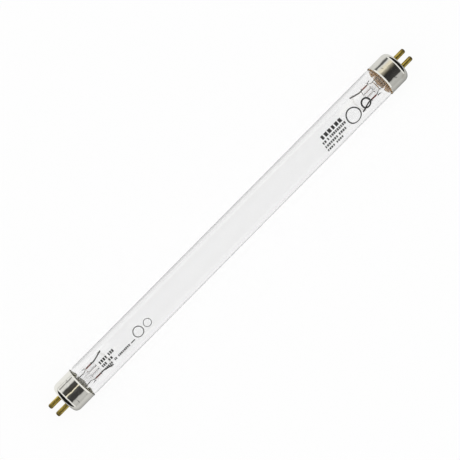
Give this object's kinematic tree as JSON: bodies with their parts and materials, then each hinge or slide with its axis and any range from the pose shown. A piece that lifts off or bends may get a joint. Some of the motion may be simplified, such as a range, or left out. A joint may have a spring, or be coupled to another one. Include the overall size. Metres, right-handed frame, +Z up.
{
  "type": "uv sterilizer lamp",
  "caption": "Straight clear-glass ultraviolet tube lamp with a bi-pin metal cap, a glass stem and a coil electrode at each end.",
  "frame": {"origin": "the lamp's middle, on the tube's axis", "axes": "+X along the tube's axis, +Y across it in the plane of the pins, +Z up, with the lamp lying on its side"},
  "size_m": [0.2264, 0.016, 0.016],
  "materials": {
    "clear_glass": "clear, fire polished",
    "cap_metal": "bright drawn sheet",
    "insulator": "moulded phenolic",
    "pin_brass": "dull, handled",
    "cement": "baked cement",
    "outer_lead_metal": "drawn wire",
    "seal_copper": "oxidised copper cladding",
    "inner_lead_metal": "drawn wire, darkened",
    "coil_coating": "white oxide coating on a fine coil",
    "mercury": "liquid metal"
  },
  "bodies": {
    "root": {"cap_shell_left": "cap_metal", "cap_shell_right": "cap_metal", "cement_ring_left": "cement", "cement_ring_right": "cement", "contact_pin_left_a": "pin_brass", "contact_pin_left_b": "pin_brass", "contact_pin_right_a": "pin_brass", "contact_pin_right_b": "pin_brass", "exhaust_tube_left": "clear_glass", "exhaust_tube_right": "clear_glass", "filament_left": "coil_coating", "filament_right": "coil_coating", "glass_tube": "clear_glass", "inner_lead_left_a": "inner_lead_metal", "inner_lead_left_b": "inner_lead_metal", "inner_lead_right_a": "inner_lead_metal", "inner_lead_right_b": "inner_lead_metal", "insulator_disc_left": "insulator", "insulator_disc_right": "insulator", "mercury_drop": "mercury", "outer_lead_left_a": "outer_lead_metal", "outer_lead_left_b": "outer_lead_metal", "outer_lead_right_a": "outer_lead_metal", "outer_lead_right_b": "outer_lead_metal", "seal_wire_left_a": "seal_copper", "seal_wire_left_b": "seal_copper", "seal_wire_right_a": "seal_copper", "seal_wire_right_b": "seal_copper", "stem_left": "clear_glass", "stem_right": "clear_glass"}
  },
  "joints": []
}
